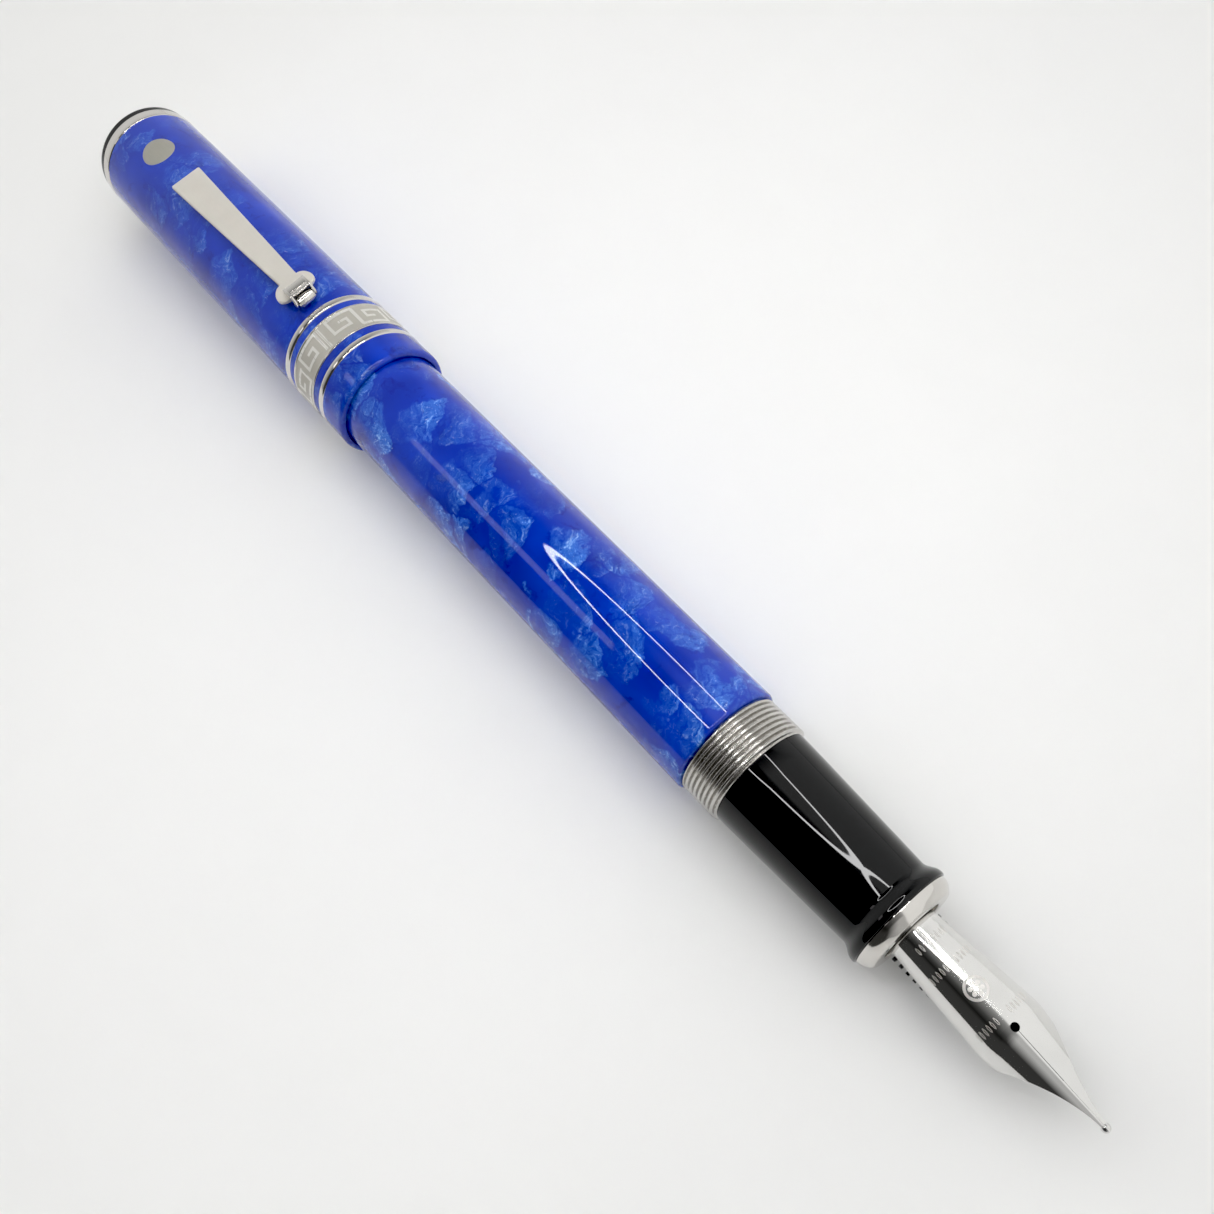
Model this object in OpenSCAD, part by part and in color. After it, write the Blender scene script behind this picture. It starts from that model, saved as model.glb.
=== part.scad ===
// Oversize flat-top fountain pen, lying on its side with the cap posted on the barrel.
// The pen's axis is X with the nib towards +X, and the clip is on top, towards +Z.
// The pieces are drawn with X = 0 at the front end of the barrel, where the cap threads begin, and
// place() then moves each one so that X = 0 is the middle of the barrel length that shows.

/* [Barrel] */
// Outer radius of the barrel
barrel_r = 7.25; // [7.1:0.05:7.3]
// Length of barrel that shows between the posted cap and the cap threads
barrel_shown = 65.6; // [62:0.1:66]
// Length of the narrower tail that the cap is posted on
tail_len = 19.3; // [18:0.1:20]
// Radius of the barrel's bore
barrel_bore_r = 4.6; // [4.3:0.1:5]

/* [Cap] */
// Length of the cap's coloured shell
cap_len = 64.1; // [64:0.1:70]
// Outer radius of the shell at its closed end
cap_top_r = 7.95; // [7.8:0.05:8]
// Outer radius of the shell at the lip
cap_lip_r = 8.2; // [8.1:0.05:8.3]
// Width of the finial ring
finial_ring_w = 1.9; // [1.5:0.1:3]
// Thickness of the finial's visible disc
finial_t = 1.1; // [1:0.1:2]
// Width of the wide middle band
band_w = 4.75; // [4:0.05:5.5]
// Width of each narrow ring beside the band
ring_w = 1.15; // [1:0.05:1.6]
// Diameter of the round plate let into the cap
seal_d = 5; // [4:0.5:6]

/* [Clip] */
// Width of the clip at its fixed end
clip_root_w = 4.9; // [4:0.1:6]
// Width of the clip at its narrow neck
clip_neck_w = 2.9; // [2:0.1:3]
// Radius of the roller
roller_r = 0.9; // [0.8:0.05:1]

/* [Section] */
// Length of the black grip, between the cap threads and the trim ring
grip_len = 20.9; // [18:0.1:24]
// Radius of the grip at its back end
grip_back_r = 6.5; // [6.2:0.05:6.5]
// Smallest radius of the grip, behind the flare
grip_waist_r = 5.8; // [5.6:0.05:6.1]
// Radius of the flared front of the grip
flare_r = 6.55; // [6.2:0.05:6.55]

/* [Nib] */
// Length of nib that shows in front of the trim ring
nib_out = 24.4; // [22:0.1:26]
// Half width of the nib at its shoulders
shoulder_half_w = 3.5; // [3.3:0.05:3.6]
// Thickness of the nib's metal
nib_t = 0.45; // [0.35:0.05:0.5]

/* [Hidden] */
$fn = 96;

blue = [0.10, 0.18, 0.72];
black = [0.03, 0.03, 0.04];
silver = [0.78, 0.77, 0.74];
clear_plastic = [0.85, 0.9, 0.92, 0.4];

gap = 0.05;                  // running clearance on a radius
lip_x = -barrel_shown;
barrel_edge = 0.5;           // rounding of the front edge; the full width starts this far from the cap's lip
straight_x = lip_x + barrel_edge;
tail_x = straight_x - tail_len;
tail_root_r = 6.57;
tail_end_r = 6.3;
bore_end_x = tail_x + 4;

thread_len = 5.4;
thread_crest_r = 6.9;
thread_root_r = 6.45;
thread_count = 8;
thread_pitch = thread_len / (thread_count + 0.3);
sleeve_spigot_r = 6;
sleeve_spigot_len = 7;
nipple_r = 4.95;
nipple_bore_r = 4.05;
seal_ring_r = 0.35;          // half the thickness of the sealing ring
seal_ring_x = thread_len - seal_ring_r - gap;
nipple_back_x = 0.3 - sleeve_spigot_len;
nipple_front_x = 14;

grip_x = thread_len + gap;    // the grip's back face stays just clear of the sleeve
flare_x = thread_len + grip_len;
sweep_x = flare_x - 2.3;      // where the grip's taper turns out into the flare
trim_len = 1.7;
trim_front_r = 5.4;
ring_face_x = flare_x + trim_len;
housing_r = 3.9;
housing_bore_r = 3.1;
housing_front_x = ring_face_x - 1;
tip_x = ring_face_x + nib_out;

// The nib is a tube that widens up to the breather hole and then dips and narrows towards the tip.
nib_back_x = 16;
nib_back_r = 3.05;
breather_x = ring_face_x + 13.05;
breather_r = 0.5;
body_end_r = 4;
tine_dip = 8.4;
tine_narrowing = 0.15;       // radius lost per millimetre of length
shoulder_x = tip_x - 9.2;
tip_half_w = 0.36;
slit_w = 0.12;
feed_core_r = 2.5;
fin_top_z = -0.8;
fin_count = 13;
fin_pitch = 0.95;
fin_t = 0.42;
fin_first_x = ring_face_x + 0.5;
fin_wide_count = 8;          // fins that reach out beyond the nib's edges
fin_wide_r = 3.5;
fin_last_r = 2.3;
feed_tip_x = tip_x - 5;
feed_tip_r = 0.7;

conv_r = 3.5;
conv_bore_r = 2.9;
conv_back_x = -42;
conv_mouth_x = 7;
collar_back_x = -50;
knob_back_x = -60;
knob_flutes = 20;
rod_r = 1.9;
rod_back_x = -30;
seal_front_x = -3.4;
screw_r = 1;
screw_tip_x = rod_back_x + 2;

cap_top_x = lip_x - cap_len;
finial_x = cap_top_x - finial_ring_w;
cap_bore_r = 6.95;
mouth_r = 7.4;
cap_thread_r = 6.62;         // crest of the cap's inner threads, clear of the flared grip
liner_mouth_x = lip_x - 27.2;
liner_r = 6.2;
liner_bore_r = 5.6;
land_r = 8.12;               // shell between the bands
inlay_r = 7.7;               // bottom of the grooves that hold the bands
band_r = 8.25;
band_gap = 1.15;
lower_ring_x = lip_x - 4.4;  // front edge of the lower ring
band_x = lower_ring_x - ring_w - band_gap;
upper_ring_x = band_x - band_w - band_gap;
seal_x = cap_top_x + 7.75;
seal_depth = 0.6;

clip_root_x = cap_top_x + 16.6;
clip_end_x = upper_ring_x - ring_w - 0.75;
clip_t = 0.55;
clip_pivot_z = 8.4;
clip_root_z = 8.95;
clip_neck_x = clip_end_x - 5.6;
clip_neck_z = 9.6;
roller_x = clip_end_x - roller_r;
roller_z = land_r + 0.1 + roller_r;
roller_len = 2.5;
pin_r = 0.3;
wing_half_w = 2.95;
wing_r = 1.45;
ear_in = 1.3;
ear_t = 0.4;
cage_back_x = clip_end_x - 3.4;
cage_front_x = clip_end_x - 1.15;
cage_z = 10.55;
tang_w = 3.6;
tang_clear = 0.3;
tang_in = 0.4;               // the tang stands in from the blade's end
tang_foot_z = 6.6;

// Points of a circular arc, in the plane of a turned profile.
function arc(cr, cx, r, a0, a1, n = 8) =
    [for (i = [0 : n]) let (a = a0 + (a1 - a0) * i / n) [cr + r * cos(a), cx + r * sin(a)]];

// Moves a piece to where the finished pen has it.
module place() translate([barrel_shown / 2, 0, 0]) children();

// Straight line between two values.
function mix(a, b, t) = a + (b - a) * t;

// A solid turned about the pen's axis, from points of radius and X.
module turned(points) rotate([0, 90, 0]) rotate_extrude() polygon(points);

// A rod along the pen's axis.
module rod(r, x0, x1) translate([x0, 0, 0]) rotate([0, 90, 0]) cylinder(h = x1 - x0, r = r);

// A plain tube along the pen's axis.
module tube(r, bore, x0, x1) difference() {
    rod(r, x0, x1);
    rod(bore, x0 - 1, x1 + 1);
}

// Outer radius of the cap's shell at a place along it.
function shell_r(x) = mix(cap_top_r, cap_lip_r, pow((x - cap_top_x) / cap_len, 0.75));

module barrel() color(blue) difference() {
    turned(concat(
        [[0, tail_x]],
        arc(tail_end_r - 0.6, tail_x + 0.6, 0.6, -90, 0, 4),
        [[tail_root_r, straight_x - 0.7], [barrel_r - 0.1, straight_x - 0.1], [barrel_r, straight_x]],
        arc(barrel_r - barrel_edge, -barrel_edge, barrel_edge, 0, 90, 6),
        [[0, 0]]
    ));
    rod(barrel_bore_r, bore_end_x, 1);
    rod(sleeve_spigot_r, -sleeve_spigot_len, 1);
}

// One thread after another along the sleeve: root, flank, crest, flank.
function thread_profile(root, crest, x0, pitch, n) =
    [for (i = [0 : n - 1]) for (p = [[root, 0.08], [crest, 0.36], [crest, 0.64], [root, 0.92]])
        [p[0], x0 + (i + p[1]) * pitch]];

module cap_thread_sleeve() color(silver) difference() {
    union() {
        rod(sleeve_spigot_r, -sleeve_spigot_len, 0);
        turned(concat(
            [[0, 0], [thread_root_r, 0]],
            thread_profile(thread_root_r, thread_crest_r, 0, thread_pitch, thread_count),
            [[thread_root_r, thread_len], [0, thread_len]]
        ));
    }
    rod(nipple_r + gap, -sleeve_spigot_len - 1, thread_len + 1);
    rod(nipple_r + 2 * gap + 2 * seal_ring_r, seal_ring_x - seal_ring_r - gap, thread_len + 1);
}

// Rubber ring in the mouth of the sleeve, squeezed by the section's back face.
module section_seal_ring() color(black) rotate([0, 90, 0]) translate([0, 0, seal_ring_x]) rotate_extrude()
    translate([nipple_r + gap + seal_ring_r, 0]) circle(r = seal_ring_r, $fn = 32);

module section_nipple() color(silver) difference() {
    rod(nipple_r, nipple_back_x, nipple_front_x);
    rod(nipple_bore_r, nipple_back_x - 1, nipple_front_x + 1);
    for (x = [nipple_back_x + 1 : 1 : -1])
        tube_groove(x);
}

// A shallow groove around the nipple, between two turns of its thread.
module tube_groove(x) translate([x, 0, 0]) rotate([0, 90, 0]) rotate_extrude()
    polygon([[nipple_r - 0.3, 0.2], [nipple_r + 1, -0.6], [nipple_r + 1, 1]]);

module section_grip() color(black) difference() {
    turned(concat(
        [[0, grip_x], [grip_back_r - 0.15, grip_x], [grip_back_r, grip_x + 0.15]],
        [for (i = [1 : 6]) let (t = i / 6)
            [mix(grip_back_r, grip_waist_r, t), mix(grip_x + 0.15, sweep_x, t)]],
        // concave sweep out to the flare
        [for (i = [1 : 8]) let (t = i / 8)
            [grip_waist_r + (flare_r - grip_waist_r) * (1 - cos(180 * t)) / 2, mix(sweep_x, flare_x - 0.5, t)]],
        arc(flare_r - 0.4, flare_x - 0.4, 0.4, 0, 60, 4),
        [[flare_r - 0.25, flare_x], [0, flare_x]]
    ));
    rod(nipple_r + gap, thread_len - 1, nipple_front_x + 0.2);
    rod(housing_r, thread_len, flare_x + 1);
}

module section_trim_ring() color(silver) difference() {
    turned(concat(
        [[0, flare_x], [flare_r - 0.25, flare_x]],
        arc(trim_front_r - 0.5, flare_x, flare_r - 0.25 - trim_front_r + 0.5, 8, 60, 8),
        [[trim_front_r - 0.15, ring_face_x], [0, ring_face_x]]
    ));
    rod(housing_r, flare_x - 1, ring_face_x + 1);
}

module nib_housing() color(black) difference() {
    rod(housing_r, 9, housing_front_x);
    rod(housing_bore_r, nib_back_x - 0.5, ring_face_x);
    rod(feed_core_r + gap, 8, ring_face_x);
}

// The nib's tube, grown by extra all round, before its outline is cut.
module nib_tube(extra = 0) {
    turned([
        [0, nib_back_x + extra], [nib_back_r + extra, nib_back_x + extra], [nib_back_r + extra, ring_face_x],
        [body_end_r + extra, breather_x + 0.2], [0, breather_x + 0.2]
    ]);
    translate([breather_x, 0, 0]) rotate([0, 90 + tine_dip, 0])
        cylinder(h = 14, r1 = body_end_r + extra - 0.01, r2 = body_end_r + extra - 0.01 - 14 * tine_narrowing);
}

// Height of the top of the tines at a place along them.
function tine_top(x) =
    let (u = x - breather_x) body_end_r - u * (tan(tine_dip) + tine_narrowing / cos(tine_dip));

// Half of the nib's outline seen from above, from the shoulder to the tip.
tine_edge = [for (i = [0 : 10]) let (t = i / 10)
    [mix(shoulder_x, tip_x, t), tip_half_w + (shoulder_half_w - tip_half_w) * pow(1 - t, 1.55)]];

module nib_from_above() polygon(concat(
    [[nib_back_x - 1, 6], [shoulder_x - 0.6, 6]],
    tine_edge,
    [for (i = [len(tine_edge) - 1 : -1 : 0]) [tine_edge[i][0], -tine_edge[i][1]]],
    [[shoulder_x - 0.6, -6], [nib_back_x - 1, -6]]
));

// The nib from the side: its lower edges run just below the tube's middle.
module nib_from_side() polygon([
    [nib_back_x - 1, 0.2], [ring_face_x, -0.3], [breather_x, -0.6], [shoulder_x, -1], [tip_x + 1, -2],
    [tip_x + 1, 6], [nib_back_x - 1, 6]
]);

module nib() color(silver) difference() {
    intersection() {
        nib_tube();
        translate([0, 0, -6]) linear_extrude(height = 12) nib_from_above();
        translate([0, 6, 0]) rotate([90, 0, 0]) linear_extrude(height = 12) nib_from_side();
    }
    nib_tube(-nib_t);
    rod(nib_back_r - nib_t, nib_back_x - 1, nib_back_x + 1);
    translate([breather_x, -slit_w / 2, -4]) cube([20, slit_w, 9]);
    translate([breather_x, 0, 1]) cylinder(h = 5, r = breather_r);
}

// A rounded pellet of hard metal on each tine, parted by the slit.
module nib_tipping() color(silver) for (side = [-1, 1]) intersection() {
    translate([tip_x + 0.28, 0, tine_top(tip_x) - nib_t / 2 - 0.1]) sphere(r = 0.5, $fn = 24);
    translate([tip_x + 0.01, side > 0 ? slit_w / 2 : -slit_w / 2 - 1, -3]) cube([2, 1, 6]);
}

// The feed's underside, cut off level below the edges of the nib.
module below_nib() difference() {
    children();
    translate([0, -6, fin_top_z]) cube([feed_tip_x + 1, 12, 8]);
}

// Radius of a fin: the first ones are all the same size, and the rest get smaller towards the tip.
function fin_r(i) = mix(fin_wide_r, fin_last_r, max(i + 1 - fin_wide_count, 0) / (fin_count - fin_wide_count));

module feed() color(black) difference() {
    union() {
        rod(1.15, 3.5, 9);
        rod(feed_core_r, 9, fin_first_x + 7);
        below_nib() rod(housing_bore_r - gap, nib_back_x, housing_front_x);
        // the front of the feed rises to meet the underside of the tines
        translate([fin_first_x + 6.8, 0, 0]) rotate([0, 90 - 4.6, 0])
            cylinder(h = feed_tip_x - fin_first_x - 6.8, r1 = feed_core_r - 0.02, r2 = feed_tip_r);
        for (i = [0 : fin_count - 1]) let (x = fin_first_x + i * fin_pitch)
            below_nib() rod(fin_r(i), x, x + fin_t);
    }
    rod(0.6, 3, 12);
    translate([9.5, -0.25, 1.7]) cube([feed_tip_x, 0.5, 3]);
}

module converter_tube() color(clear_plastic) difference() {
    union() {
        rod(conv_r, conv_back_x, 0);
        rod(2.4, 0, conv_mouth_x);
    }
    rod(conv_bore_r, conv_back_x - 1, -1);
    rod(1.2, -2, conv_mouth_x + 1);
}

module converter_collar() color(silver) difference() {
    turned([
        [0, collar_back_x], [3.6, collar_back_x], [3.85, collar_back_x + 0.25],
        [3.85, conv_back_x + 3.75], [3.7, conv_back_x + 4], [0, conv_back_x + 4]
    ]);
    rod(conv_r, conv_back_x, conv_back_x + 5);
    rod(rod_r + 0.1, collar_back_x - 1, conv_back_x + 1);
}

module converter_knob() color(black) difference() {
    turned(concat(
        [[0, knob_back_x], [2.9, knob_back_x]],
        arc(2.9, knob_back_x + 0.6, 0.6, -90, 0, 4),
        [[3.5, collar_back_x - 0.7], [3.3, collar_back_x - 0.3], [0, collar_back_x - 0.3]]
    ));
    rod(screw_r, knob_back_x + 3, collar_back_x + 1);
    for (i = [0 : knob_flutes - 1]) rotate([i * 360 / knob_flutes, 0, 0])
        translate([knob_back_x + 1, 0, 3.62]) rotate([0, 90, 0]) cylinder(h = 7, r = 0.24, $fn = 16);
}

module converter_screw() color(silver) union() {
    rod(screw_r, knob_back_x + 3, screw_tip_x - 3);
    turned(concat(
        [[0, screw_tip_x - 3], [0.8, screw_tip_x - 3]],
        thread_profile(0.8, screw_r, screw_tip_x - 3, 0.8, 3),
        [[0.8, screw_tip_x], [0, screw_tip_x]]
    ));
}

module piston_rod() color([0.9, 0.9, 0.88]) difference() {
    union() {
        rod(rod_r, rod_back_x, -9.6);
        rod(1.2, -9.6, seal_front_x - 1);
    }
    rod(screw_r + 0.15, rod_back_x - 1, -9.8);
}

// Double-lipped piston seal: two lips wipe the tube, with a waist between them.
module piston_seal() color([0.12, 0.12, 0.13]) difference() {
    turned([
        [0, -9.6], [2.5, -9.6], [conv_bore_r - gap, -9.2], [conv_bore_r - gap, -8.7], [2.3, -8.1],
        [2.3, -5.6], [conv_bore_r - gap, -5], [conv_bore_r - gap, -4.5], [2.5, -4],
        [1.4, seal_front_x], [0, seal_front_x]
    ]);
    rod(1.2, -10, seal_front_x - 1);
}

module inner_cap() color(black) difference() {
    turned([
        [0, cap_top_x + 1.2], [cap_bore_r - gap, cap_top_x + 1.2], [cap_bore_r - gap, cap_top_x + 4],
        [liner_r, cap_top_x + 4.6], [liner_r, liner_mouth_x - 3.6], [cap_bore_r - gap, liner_mouth_x - 3],
        [cap_bore_r - gap, liner_mouth_x], [0, liner_mouth_x]
    ]);
    rod(liner_bore_r, cap_top_x + 2.6, liner_mouth_x + 1);
    turned([
        [0, liner_mouth_x - 0.6], [liner_bore_r, liner_mouth_x - 0.6],
        [6.4, liner_mouth_x + 0.1], [0, liner_mouth_x + 0.1]
    ]);
}

// The shell's outside, with the three grooves that the bands are let into.
module cap_outside() turned(concat(
    [[0, cap_top_x], [cap_top_r - 0.1, cap_top_x]],
    [for (i = [0 : 6]) let (x = mix(cap_top_x + 0.1, upper_ring_x - ring_w, i / 6)) [min(shell_r(x), land_r), x]],
    [
        [inlay_r, upper_ring_x - ring_w], [inlay_r, upper_ring_x], [land_r, upper_ring_x],
        [land_r, band_x - band_w], [inlay_r, band_x - band_w], [inlay_r, band_x], [land_r, band_x],
        [land_r, lower_ring_x - ring_w], [inlay_r, lower_ring_x - ring_w], [inlay_r, lower_ring_x],
        [cap_lip_r, lower_ring_x]
    ],
    arc(cap_lip_r - 0.65, lip_x - 0.65, 0.65, 0, 90, 6),
    [[0, lip_x]]
));

module cap_shell() color(blue) difference() {
    cap_outside();
    rod(cap_bore_r, cap_top_x - 1, lip_x - 9);
    rod(mouth_r, lip_x - 1.6, lip_x + 1);
    turned(concat(
        [[0, lip_x - 9.1], [cap_bore_r, lip_x - 9]],
        thread_profile(cap_bore_r, cap_thread_r, lip_x - 8.6, thread_pitch, 9),
        [[cap_bore_r, lip_x - 1.6], [0, lip_x - 1.5]]
    ));
    translate([seal_x, 0, shell_r(seal_x) - seal_depth]) cylinder(h = 2, r = seal_d / 2);
    tang_hole(6);
}

module cap_finial() color(black) turned(concat(
    [[0, finial_x - finial_t], [cap_top_r - 0.75, finial_x - finial_t]],
    arc(cap_top_r - 0.75, finial_x - finial_t + 0.6, 0.6, -90, 0, 5),
    [[cap_top_r - 0.15, finial_x], [cap_bore_r - gap, finial_x]],
    [[cap_bore_r - gap, cap_top_x + 1.1], [0, cap_top_x + 1.1]]
));

module finial_ring() color(silver) difference() {
    turned(concat(
        [[0, finial_x], [cap_top_r - 0.15, finial_x]],
        arc(cap_top_r - 0.25, finial_x + 0.3, 0.3, -60, 0, 3),
        arc(cap_top_r - 0.25, cap_top_x - 0.3, 0.3, 0, 60, 3),
        [[cap_top_r - 0.1, cap_top_x], [0, cap_top_x]]
    ));
    rod(cap_bore_r, finial_x - 1, cap_top_x + 1);
}

module seal_disc() color(silver) intersection() {
    translate([seal_x, 0, shell_r(seal_x) - seal_depth]) cylinder(h = 2, r = seal_d / 2);
    rod(shell_r(seal_x) + 0.04, cap_top_x, lip_x);
}

// A ring of rounded section, let into the shell.
module inlaid_ring(x0, x1, edge) difference() {
    turned(concat(
        [[0, x0], [band_r - edge, x0]],
        arc(band_r - edge, x0 + edge, edge, -90, 0, 4),
        arc(band_r - edge, x1 - edge, edge, 0, 90, 4),
        [[0, x1]]
    ));
    rod(inlay_r, x0 - 1, x1 + 1);
}

module upper_cap_ring() color(silver) inlaid_ring(upper_ring_x - ring_w, upper_ring_x, 0.3);
module middle_cap_band() color(silver) inlaid_ring(band_x - band_w, band_x, 0.12);
module lower_cap_ring() color(silver) inlaid_ring(lower_ring_x - ring_w, lower_ring_x, 0.3);

// Curved plate inside the shell that the clip's tang is keyed into.
module clip_anchor() color(silver) difference() {
    intersection() {
        tube(cap_bore_r, liner_r + 0.1, clip_root_x - 5, clip_root_x + 5);
        translate([clip_root_x - 6, -3, 0]) cube([12, 6, 9]);
    }
    tang_hole(5);
}

// Slot that the clip's tang goes down through, from a height upwards.
module tang_hole(z) translate([clip_root_x + tang_in - tang_clear, -tang_w / 2 - tang_clear, z])
    cube([clip_t + 2 * tang_clear, tang_w + 2 * tang_clear, 5]);

// The clip from above: a tapering blade, then two rounded wings.
module clip_outline() {
    polygon([
        [clip_root_x, -clip_root_w / 2], [clip_neck_x, -clip_neck_w / 2], [cage_back_x + 0.5, -clip_neck_w / 2],
        [cage_back_x + 0.5, clip_neck_w / 2], [clip_neck_x, clip_neck_w / 2], [clip_root_x, clip_root_w / 2]
    ]);
    for (side = [-1, 1]) translate([clip_neck_x + wing_r + 0.7, side * (wing_half_w - wing_r)]) circle(r = wing_r);
}

// The clip from the side: a tang that goes down into the cap, and a blade that climbs to the wings.
module clip_side() polygon([
    [clip_root_x + tang_in, tang_foot_z], [clip_root_x + tang_in + clip_t, tang_foot_z],
    [clip_root_x + tang_in + clip_t, clip_root_z - clip_t], [clip_neck_x, clip_neck_z - clip_t],
    [clip_end_x, clip_neck_z - clip_t], [clip_end_x, clip_neck_z], [clip_neck_x, clip_neck_z],
    [clip_root_x + 0.15, clip_root_z], [clip_root_x, clip_root_z - 0.15],
    [clip_root_x, clip_root_z - clip_t], [clip_root_x + tang_in, clip_root_z - clip_t]
]);

// The roller's cage from the side: level on top, then sloping down to the roller's pin.
module cage_side() polygon([
    [cage_back_x, clip_neck_z - clip_t], [cage_back_x, cage_z - 0.35], [cage_back_x + 0.35, cage_z],
    [cage_front_x, cage_z], [clip_end_x - 0.35, roller_z + 0.25], [clip_end_x - 0.35, roller_z - 0.3],
    [roller_x + 0.1, 8.6], [roller_x - 0.7, 8.6], [cage_back_x + 0.6, clip_neck_z - clip_t]
]);

module clip_blade() color(silver) difference() {
    union() {
        intersection() {
            translate([0, 0, 6]) linear_extrude(height = 7) clip_outline();
            translate([0, 4, 0]) rotate([90, 0, 0]) linear_extrude(height = 8) clip_side();
        }
        translate([0, ear_in + ear_t, 0]) rotate([90, 0, 0])
            linear_extrude(height = 2 * (ear_in + ear_t)) cage_side();
    }
    // the tang is narrower than the blade
    for (side = [-1, 1]) translate([clip_root_x - 1, side * (tang_w / 2 + 2) - 2, 6])
        cube([3, 4, clip_root_z - clip_t - 6]);
    // hollow of the cage, open below and in front
    translate([roller_x - roller_r - 0.15, -ear_in, 7]) cube([4, 2 * ear_in, cage_z - 0.35 - 7]);
    translate([cage_front_x, -ear_in, 7]) cube([4, 2 * ear_in, 5]);
    translate([roller_x, 5, roller_z]) rotate([90, 0, 0]) cylinder(h = 10, r = pin_r, $fn = 48);
}

module clip_roller_pin() color(silver) translate([roller_x, ear_in + ear_t, roller_z]) rotate([90, 0, 0])
    cylinder(h = 2 * (ear_in + ear_t), r = pin_r, $fn = 48);

// Barrel-shaped roller with rims, bored for its pin.
module clip_roller() color(silver) translate([roller_x, 0, roller_z]) rotate([90, 0, 0]) rotate_extrude()
    polygon(concat(
        [[pin_r + gap, -roller_len / 2], [roller_r - 0.2, -roller_len / 2]],
        [for (i = [0 : 6]) let (t = -1 + i / 3) [roller_r - 0.1 * t * t, t * (roller_len / 2 - 0.15)]],
        [[roller_r - 0.2, roller_len / 2], [pin_r + gap, roller_len / 2]]
    ));

place() barrel();
place() cap_thread_sleeve();
place() section_seal_ring();
place() section_nipple();
place() section_grip();
place() section_trim_ring();
place() nib_housing();
place() feed();
place() nib();
place() nib_tipping();
place() converter_tube();
place() converter_collar();
place() converter_knob();
place() converter_screw();
place() piston_rod();
place() piston_seal();
place() inner_cap();
place() cap_shell();
place() cap_finial();
place() finial_ring();
place() seal_disc();
place() clip_anchor();
place() upper_cap_ring();
place() middle_cap_band();
place() lower_cap_ring();
place() clip_blade();
place() clip_roller_pin();
place() clip_roller();
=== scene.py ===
"""Oversize flat-top fountain pen, uncapped, with the cap posted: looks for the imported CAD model.

Everything is in metres in the model's frame: +X runs along the pen to the nib, +Z up through the clip.
"""

import math

import bmesh
import bpy
from mathutils import Matrix, Vector


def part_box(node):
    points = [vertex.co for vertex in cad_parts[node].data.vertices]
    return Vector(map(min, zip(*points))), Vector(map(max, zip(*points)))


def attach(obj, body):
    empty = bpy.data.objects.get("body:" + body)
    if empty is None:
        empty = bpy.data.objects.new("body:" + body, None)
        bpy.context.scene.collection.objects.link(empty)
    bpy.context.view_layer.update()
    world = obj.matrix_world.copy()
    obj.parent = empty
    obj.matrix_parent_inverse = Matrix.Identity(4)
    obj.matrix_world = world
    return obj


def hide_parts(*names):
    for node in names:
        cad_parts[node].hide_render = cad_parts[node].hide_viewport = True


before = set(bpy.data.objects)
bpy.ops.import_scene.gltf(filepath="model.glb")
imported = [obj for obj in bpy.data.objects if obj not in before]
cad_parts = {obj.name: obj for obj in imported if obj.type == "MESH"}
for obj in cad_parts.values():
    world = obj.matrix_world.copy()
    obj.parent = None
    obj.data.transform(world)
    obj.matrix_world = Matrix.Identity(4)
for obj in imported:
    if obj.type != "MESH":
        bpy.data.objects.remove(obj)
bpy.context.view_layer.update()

MM = 0.001
SEGMENTS = 192
ROUND_STEPS = 5
TINY = 1e-7


def span(node):
    """(lowest X, highest X, largest radius) of a CAD node."""
    low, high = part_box(node)
    return low[0], high[0], (high[1] - low[1]) / 2


# ---------------------------------------------------------------- places read from the frame
tail_x, barrel_front_x, barrel_r = span("barrel")
cap_top_x, lip_x, lip_r = span("cap_shell")
finial_x = span("cap_finial")[0]
finial_ring_x, finial_front_x, cap_top_r = span("finial_ring")
upper_ring = span("upper_cap_ring")
band = span("middle_cap_band")
lower_ring = span("lower_cap_ring")
sleeve_front_x, thread_r = span("cap_thread_sleeve")[1:]
grip_x, flare_x, flare_r = span("section_grip")
ring_face_x = span("section_trim_ring")[1]
nib_back_x, tip_x = span("nib")[:2]
clip_low, clip_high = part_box("clip_blade")
roller_low, roller_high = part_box("clip_roller")
seal_low, seal_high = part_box("seal_disc")

# ---------------------------------------------------------------- sizes that pieces share
band_r = band[2]
land_r = band_r - 0.13 * MM
ring_seat_r = 7.7 * MM
cap_bore_r = 6.95 * MM
barrel_bore_r = 4.6 * MM
section_bore_r = 3.9 * MM
# The socket is the recess at the barrel's front that takes the sleeve's tube.
socket_r = 6 * MM
socket_x = barrel_front_x - 7 * MM


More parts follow.
